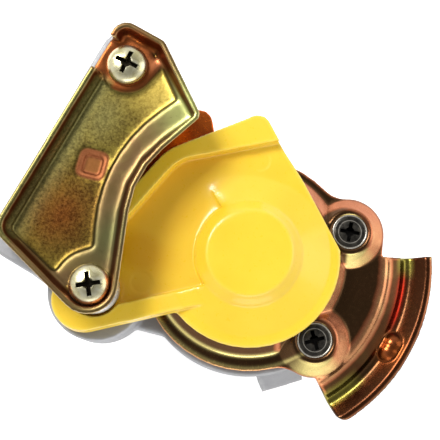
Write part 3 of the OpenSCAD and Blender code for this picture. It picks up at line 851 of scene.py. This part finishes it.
def screw_tree():
    """Cuts a cross recess into a screw blank and sets it at two places."""
    tree, given, result = tree_of(
        "Screw pair",
        [
            ("Head top", "Float"),
            ("Recess width", "Float"),
            ("Recess depth", "Float"),
            ("First place", "Vector"),
            ("Step to second", "Vector"),
            ("First turn", "Float"),
            ("Turn between", "Float"),
            ("Finish", "Material"),
        ],
    )
    ask = given.outputs
    wide, deep = ask["Recess width"], ask["Recess depth"]
    slim, tall = times(tree, wide, RECESS_ARM), times(tree, deep, 2.0)
    arm = step(tree, "ShaderNodeCombineXYZ", X=wide, Y=slim, Z=tall)
    wing = step(tree, "GeometryNodeMeshCube", Size=arm.outputs[0])
    across = step(tree, "GeometryNodeTransform", Geometry=wing.outputs["Mesh"], Rotation=(0, 0, math.pi / 2))
    core = step(
        tree,
        "GeometryNodeMeshCone",
        Vertices=24,
        Radius_Top=times(tree, wide, RECESS_CORE),
        Radius_Bottom=RECESS_TIP * MM,
        Depth=deep,
    )
    sunk = step(tree, "ShaderNodeCombineXYZ", Z=times(tree, deep, RECESS_CORE_DROP))
    core_low = step(tree, "GeometryNodeTransform", Geometry=core.outputs["Mesh"], Translation=sunk.outputs[0])
    lift = step(tree, "ShaderNodeCombineXYZ", Z=ask["Head top"])
    blank = ask["Geometry"]
    for tool in (wing.outputs["Mesh"], across.outputs[0], core_low.outputs[0]):
        raised = step(tree, "GeometryNodeTransform", Geometry=tool, Translation=lift.outputs[0])
        how = {"operation": "DIFFERENCE", "solver": "EXACT"}
        cut = step(tree, "GeometryNodeMeshBoolean", how, Mesh_1=blank)
        tree.links.new(raised.outputs[0], cut.inputs["Mesh 2"])
        blank = cut.outputs["Mesh"]
    places = step(
        tree, "GeometryNodeMeshLine", Count=2, Start_Location=ask["First place"], Offset=ask["Step to second"]
    )
    index = step(tree, "GeometryNodeInputIndex")
    turn = step(tree, "ShaderNodeMath", {"operation": "MULTIPLY_ADD"})
    for socket, source in zip(turn.inputs, (index.outputs[0], ask["Turn between"], ask["First turn"])):
        tree.links.new(source, socket)
    spun = step(tree, "ShaderNodeCombineXYZ", Z=turn.outputs[0])
    set_out = step(
        tree,
        "GeometryNodeInstanceOnPoints",
        Points=places.outputs["Mesh"],
        Instance=blank,
        Rotation=spun.outputs[0],
    )
    real = step(tree, "GeometryNodeRealizeInstances", Geometry=set_out.outputs[0])
    coated = step(tree, "GeometryNodeSetMaterial", Geometry=real.outputs[0], Material=ask["Finish"])
    tree.links.new(coated.outputs[0], result.inputs[0])
    return tree


def screw_pair(name, node, finish, tree, profile, head_top, recess, places, turns, broken, rings):
    """Two like screws, from a profile around Z whose height 0 lies at their places."""
    piece = shown(name, turned(name, profile, sides=72))
    first, second = (Vector(p) * MM for p in places)
    grow(
        piece,
        tree,
        {
            "Head top": head_top * MM,
            "Recess width": recess[0] * MM,
            "Recess depth": recess[1] * MM,
            "First place": first,
            "Step to second": second - first,
            "First turn": math.radians(turns[0]),
            "Turn between": math.radians(turns[1] - turns[0]),
            "Finish": finish.material,
        },
    )
    rolled(piece, width=broken, angle=35)
    mesh = piece.data
    co = points_of(mesh) / MM
    far = np.min([off(co, place) for place in places], axis=0)
    top = places[0][2] + head_top
    # Painted shade in the cross recess, darker with depth
    give(mesh, "recess", ramp(top - co[:, 2], *RECESS_SHADE) * (far < RECESS_REACH * recess[0]))
    give(mesh, "ring", np.max([np.abs(far - r) < RING_HALF_WIDTH for r in rings], axis=0))
    fitted(piece, "head", node, finish)


def make_screws():
    tree = screw_tree()
    flat = [(0, 0), (3.45, 0), (3.6, -0.06), (3.75, 0), (4.3, 0), (4.75, -0.02), (4.95, -0.16), (5.15, -0.04)]
    cone = [(5.35, -0.06), (5.5, -0.25), (SHANK, -2.7)]
    screw_pair(
        "claw_plate_screw_pair",
        "claw_plate_screws",
        dark_screw_steel(),
        tree,
        profile=flat + cone + [(SHANK, -12.1), (SHANK_TIP, -12.5), (0, -12.5)],
        head_top=0.0,
        recess=(6.2, 2.4),
        places=[(*polar(EAR_RADIUS, a), RING_Z - 0.5) for a in EAR_ANGLES],
        turns=(20, 45),
        broken=0,
        rings=(3.6, 5.15, 5.35),
    )
    pan, side, rise = 6.2, 1.1, 3.1
    arc = [math.pi / 2 * k / 10 for k in range(11)]
    crown = [(pan * math.sin(t), side + rise * math.cos(t)) for t in arc]
    seat = [(pan, 0.4), (5.9, 0.02), (SHANK, 0.02)]
    screw_pair(
        "guide_plate_screw_pair",
        "guide_plate_screws",
        pale_screw_zinc(),
        tree,
        profile=crown + seat + [(SHANK, -17.6), (SHANK_TIP, -18.0), (0, -18.0)],
        head_top=side + rise,
        recess=(7.2, 2.8),
        places=[(*BACK_SCREW, BAND_TOP), (*PIVOT, BAND_TOP)],
        turns=(5, 38),
        broken=0.16,
        rings=(pan,),
    )


# Spring


def spring_tree():
    """Round wire along a path."""
    tree, given, result = tree_of("Spring wire", [("Wire radius", "Float"), ("Finish", "Material")])
    ask = given.outputs
    path = step(tree, "GeometryNodeMeshToCurve", Mesh=ask["Geometry"])
    ring = step(tree, "GeometryNodeCurvePrimitiveCircle", Resolution=14, Radius=ask["Wire radius"])
    wire = step(
        tree,
        "GeometryNodeCurveToMesh",
        Curve=path.outputs[0],
        Profile_Curve=ring.outputs["Curve"],
        Fill_Caps=True,
    )
    smooth = step(tree, "GeometryNodeSetShadeSmooth", Geometry=wire.outputs[0])
    real = step(tree, "GeometryNodeRealizeInstances", Geometry=smooth.outputs[0])
    coated = step(tree, "GeometryNodeSetMaterial", Geometry=real.outputs[0], Material=ask["Finish"])
    tree.links.new(coated.outputs[0], result.inputs[0])
    return tree


def make_spring():
    coil, low, high, turns, wire = 7.18, 49.6, 57.6, 4, 1.2
    foot_reach, top_reach, bend, leg_angle = 10.78, 18.2, 0.4, 180.0
    steps = 40 * turns
    places = [(foot_reach, leg_angle, low), (coil + bend, leg_angle, low)]
    for k in range(1, steps):
        share = k / steps
        places.append((coil, leg_angle + 360 * turns * share, low + (high - low) * share))
    places += [(coil + bend, leg_angle, high), (top_reach, leg_angle, high)]
    points = []
    for radius, angle, height in places:
        x, y = polar(radius, angle)
        points.append(Vector((PIVOT[0] + x, PIVOT[1] + y, height)) * MM)
    mesh = bpy.data.meshes.new("return_spring_wire")
    mesh.from_pydata(points, [(k, k + 1) for k in range(len(points) - 1)], [])
    piece = shown("return_spring_wire", mesh)
    finish = spring_steel()
    grow(piece, spring_tree(), {"Wire radius": wire / 2 * MM, "Finish": finish.material})
    finish.wear(piece)
    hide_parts("return_spring")
    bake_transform(piece)


# Floor, light and camera, in metres

FLOOR_HALF = 3.0
FLOOR_DROP = -0.0006
FLOOR_PAPER = (0.82, 0.82, 0.82, 1)
FLOOR_GLOW = 0.62


def make_floor():
    """White paper that keeps the shadow, and glows only where it is seen or mirrored."""
    a = FLOOR_HALF
    mesh = bpy.data.meshes.new("floor")
    mesh.from_pydata([(-a, -a, 0), (a, -a, 0), (a, a, 0), (-a, a, 0)], [], [(0, 1, 2, 3)])
    mesh.transform(Matrix.Translation((0, 0, FLOOR_DROP)))
    floor = shown("floor", mesh)
    material = bpy.data.materials.new("white floor")
    material.use_nodes = True
    tree = material.node_tree
    tree.nodes.clear()
    paper = step(tree, "ShaderNodeBsdfDiffuse", Color=FLOOR_PAPER)
    glow = step(tree, "ShaderNodeEmission", Strength=FLOOR_GLOW)
    dark = step(tree, "ShaderNodeEmission", Strength=0.0)
    seen = step(tree, "ShaderNodeLightPath")
    share = seen.outputs["Is Camera Ray"]
    for ray in ("Is Glossy Ray", "Is Transmission Ray"):
        either = step(tree, "ShaderNodeMath", {"operation": "MAXIMUM"})
        tree.links.new(share, either.inputs[0])
        tree.links.new(seen.outputs[ray], either.inputs[1])
        share = either.outputs[0]
    pick = step(tree, "ShaderNodeMixShader", Fac=share)
    tree.links.new(dark.outputs[0], pick.inputs[1])
    tree.links.new(glow.outputs[0], pick.inputs[2])
    add = step(tree, "ShaderNodeAddShader")
    tree.links.new(paper.outputs[0], add.inputs[0])
    tree.links.new(pick.outputs[0], add.inputs[1])
    step(tree, "ShaderNodeOutputMaterial", Surface=add.outputs[0])
    mesh.materials.append(material)


AZIMUTH = math.radians(30)
ELEVATION = math.radians(80)
RIGHT = Vector((math.cos(AZIMUTH), math.sin(AZIMUTH), 0))
AHEAD = Vector(
    (-math.sin(AZIMUTH) * math.cos(ELEVATION), math.cos(AZIMUTH) * math.cos(ELEVATION), -math.sin(ELEVATION))
)
UP = RIGHT.cross(AHEAD)

# Each lamp's place by the picture's own right and up and by its height, with its size and its power in watts
LAMPS = (
    ("key lamp", -0.42, 0.42, 0.75, (0.35, 0.3), 6.8),
    ("fill lamp", 0.75, 0.1, 0.45, (0.5, 0.7), 1.5),
    ("low lamp", 0.1, -0.8, 0.35, (0.8, 0.4), 2.0),
)
LAMP_AIM = Vector((0, 0, RING_Z * MM))
LOW_SKY = (0.45, (1.0, 1.0, 1.0, 1))
HIGH_SKY = (0.93, (0.24, 0.24, 0.24, 1))
SKY_STRENGTH = 0.86


def make_lamp(name, right, up, height, size, power):
    data = bpy.data.lights.new(name, "AREA")
    data.shape = "RECTANGLE"
    data.size, data.size_y = size
    data.energy = power
    lamp = bpy.data.objects.new(name, data)
    flat_up = Vector((UP.x, UP.y, 0)).normalized()
    lamp.location = RIGHT * right + flat_up * up + Vector((0, 0, height))
    lamp.rotation_mode = "QUATERNION"
    lamp.rotation_quaternion = (LAMP_AIM - lamp.location).to_track_quat("-Z", "Y")
    bpy.context.scene.collection.objects.link(lamp)


def make_light():
    for lamp in LAMPS:
        make_lamp(*lamp)
    world = bpy.data.worlds.new("studio")
    bpy.context.scene.world = world
    world.use_nodes = True
    tree = world.node_tree
    back = tree.nodes["Background"]
    place = step(tree, "ShaderNodeTexCoord")
    split = step(tree, "ShaderNodeSeparateXYZ", Vector=place.outputs["Generated"])
    shade = step(tree, "ShaderNodeValToRGB", Fac=split.outputs["Z"])
    for stop, (position, colour) in zip(shade.color_ramp.elements, (LOW_SKY, HIGH_SKY)):
        stop.position = position
        stop.color = colour
    tree.links.new(shade.outputs["Color"], back.inputs["Color"])
    back.inputs["Strength"].default_value = SKY_STRENGTH


IMAGE_SIDE = 440
FOCAL_PIXELS = 960.0
SEAL_PIXEL = (248.7, 256.2)
SEAL_DEPTH = 0.300


def make_camera():
    data = bpy.data.cameras.new("camera")
    data.sensor_width = 36
    data.lens = FOCAL_PIXELS / IMAGE_SIDE * data.sensor_width
    data.clip_start = 0.01
    camera = bpy.data.objects.new("camera", data)
    across = (SEAL_PIXEL[0] - IMAGE_SIDE / 2) / FOCAL_PIXELS * SEAL_DEPTH
    above = (IMAGE_SIDE / 2 - SEAL_PIXEL[1]) / FOCAL_PIXELS * SEAL_DEPTH
    place = Vector((0, 0, FACE_Z * MM)) - (RIGHT * across + UP * above + AHEAD * SEAL_DEPTH)
    turn = Matrix((RIGHT, UP, -AHEAD)).transposed().to_4x4()
    camera.matrix_world = Matrix.Translation(place) @ turn
    bpy.context.scene.collection.objects.link(camera)
    bpy.context.scene.camera = camera


make_camera()
make_light()
make_floor()
make_body()
make_claw_plate()
make_guide_plate()
make_cover()
make_seal()
make_screws()
make_spring()

bpy.context.scene.view_settings.view_transform = "Standard"
